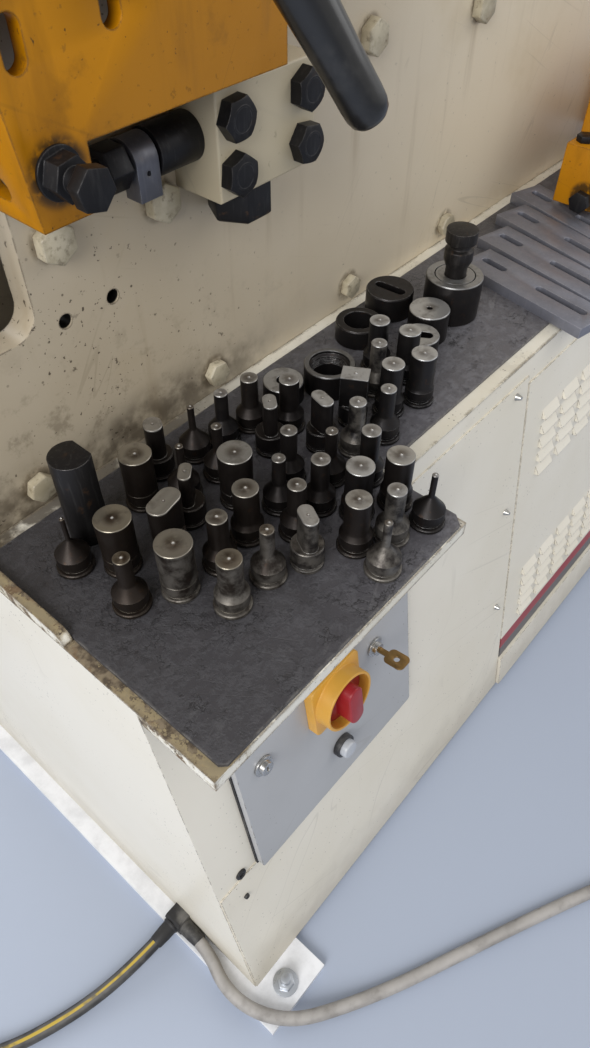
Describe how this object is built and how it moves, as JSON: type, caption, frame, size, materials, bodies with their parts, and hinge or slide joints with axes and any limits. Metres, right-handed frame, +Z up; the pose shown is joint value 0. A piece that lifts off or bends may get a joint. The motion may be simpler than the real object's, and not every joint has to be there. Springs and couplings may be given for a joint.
{
  "type": "hydraulic ironworker machine",
  "caption": "Ironworker with two frame plates on a cabinet, rocking beam, punch and bar shear, tool tray with punches and dies, electrical door and foot pedal.",
  "frame": {"origin": "on the floor, at the outer face of the cabinet's left wall and in line with the outer face of the front side plate", "axes": "+X along the machine from the bar shear to the punch, +Y away from the operator, +Z up"},
  "size_m": [2.0651, 1.4045, 1.62],
  "materials": {
    "cream_paint": "satin enamel, chipped and dusty",
    "white_paint": "satin enamel",
    "yellow_paint": "satin enamel, oily",
    "grey_paint": "fine textured powder coat",
    "zinc": "bright zinc",
    "bare_steel": "machined, oily",
    "dark_steel": "hardened tool steel, oily, ground ends",
    "black_oxide": "black oxide",
    "hard_chrome": "polished",
    "mat_rubber": "worn, oily",
    "seal_rubber": "matt",
    "black_gloss": "glossy",
    "black_plastic": "fine grain",
    "yellow_plastic": "smooth",
    "red_plastic": "smooth",
    "clear_plastic": "milky",
    "key_brass": "worn",
    "cable_black": "dusty sheath",
    "cable_grey": "dusty sheath"
  },
  "bodies": {
    "machine": {"adjusting_nut": "black_oxide", "anchor_bolts": "zinc", "cabinet_shell": "cream_paint", "cable_clamp": "black_plastic", "clamp_bolts": "black_oxide", "cross_screw": "black_oxide", "die_bolster": "bare_steel", "door_gasket": "seal_rubber", "fixed_blade": "cream_paint", "foot_plates": "cream_paint", "frame_bolts": "cream_paint", "frame_spacers": "bare_steel", "front_cover": "cream_paint", "front_side_plate": "cream_paint", "gauge_bars": "dark_steel", "guide_block": "white_paint", "guide_block_bolts": "black_oxide", "held_punch": "dark_steel", "jack_cylinder": "black_plastic", "keyed_holder": "dark_steel", "lever_pin": "black_oxide", "lock_lug": "bare_steel", "loose_dies": "dark_steel", "louvred_panel": "cream_paint", "mains_plug": "red_plastic", "mounted_die": "dark_steel", "oil_tank": "grey_paint", "panel_nuts": "zinc", "pedal_base": "yellow_paint", "pedal_cable": "cable_grey", "pivot_pin": "bare_steel", "power_cable": "cable_black", "pump_motor": "grey_paint", "ram_guide": "bare_steel", "rear_side_plate": "cream_paint", "round_punches": "dark_steel", "rubber_mat": "mat_rubber", "shaped_punches": "dark_steel", "tool_tray": "cream_paint"},
    "hold_down": {"hold_down": "yellow_paint", "jack_bolt": "black_oxide"},
    "work_support": {"work_support": "yellow_paint", "support_bolt": "black_oxide"},
    "hand_lever": {"hand_lever": "bare_steel", "lever_grip": "black_gloss"},
    "door": {"electrical_door": "grey_paint", "switch_plate": "yellow_plastic", "button_collar": "black_plastic"},
    "switch_knob": {"switch_knob": "red_plastic"},
    "button_cap": {"button_cap": "clear_plastic"},
    "left_latch": {"left_latch": "zinc"},
    "right_latch": {"right_latch": "zinc", "key": "key_brass"},
    "rocking_beam": {"rocking_beam": "bare_steel", "moving_blade": "bare_steel"},
    "jack_rod": {"jack_rod": "hard_chrome"},
    "punch_ram": {"punch_ram": "bare_steel", "ram_nut": "black_oxide", "mounted_punch": "dark_steel"},
    "foot_pedal": {"foot_pedal": "black_plastic"}
  },
  "joints": [
    {"name": "hold_down_slide", "type": "slide", "parent": "machine", "child": "hold_down", "axis": [0, 0, 1], "range_m": [0, 0.03]},
    {"name": "work_support_slide", "type": "slide", "parent": "machine", "child": "work_support", "axis": [0, 0, 1], "range_m": [0, 0.03]},
    {"name": "lever_swing", "type": "hinge", "parent": "machine", "child": "hand_lever", "pos_m": [0.222, -0.144, 1.395], "axis": [0, 1, 0], "range_deg": [-20, 20]},
    {"name": "door_hinge", "type": "hinge", "parent": "machine", "child": "door", "pos_m": [0.234, -0.3407, 0.33664], "axis": [1, 0, 0], "range_deg": [0, 90]},
    {"name": "switch_turn", "type": "hinge", "parent": "door", "child": "switch_knob", "pos_m": [0.231, -0.31853, 0.55014], "axis": [0, -0.9888, 0.1495], "range_deg": [-90, 0]},
    {"name": "button_press", "type": "slide", "parent": "door", "child": "button_cap", "axis": [0, 0.9888, -0.1495], "range_m": [0, 0.003], "stiffness_N_per_m": 400, "springref_m": -0.002},
    {"name": "left_latch_turn", "type": "hinge", "parent": "door", "child": "left_latch", "pos_m": [0.108, -0.32034, 0.53814], "axis": [0, -0.9888, 0.1495], "range_deg": [-90, 0]},
    {"name": "right_latch_turn", "type": "hinge", "parent": "door", "child": "right_latch", "pos_m": [0.322, -0.32034, 0.53814], "axis": [0, -0.9888, 0.1495], "range_deg": [-90, 0]},
    {"name": "beam_rock", "type": "hinge", "parent": "machine", "child": "rocking_beam", "pos_m": [0.64, 0.082, 1.4], "axis": [0, 1, 0], "range_deg": [0, 3.4]},
    {"name": "jack_stroke", "type": "slide", "parent": "machine", "child": "jack_rod", "axis": [0, 0, 1], "range_m": [0, 0.0225]},
    {"name": "punch_stroke", "type": "slide", "parent": "machine", "child": "punch_ram", "axis": [0, 0, -1], "range_m": [0, 0.0523]},
    {"name": "pedal_press", "type": "hinge", "parent": "machine", "child": "foot_pedal", "pos_m": [0.791, -0.712, 0.034], "axis": [1, 0, 0], "range_deg": [0, 8], "stiffness_Nm_per_rad": 8, "springref_deg": -14.32}
  ],
  "couplings": [
    {"joint": "jack_stroke", "follows": "beam_rock", "m_per_rad": 0.378},
    {"joint": "punch_stroke", "follows": "beam_rock", "m_per_rad": 0.881}
  ]
}
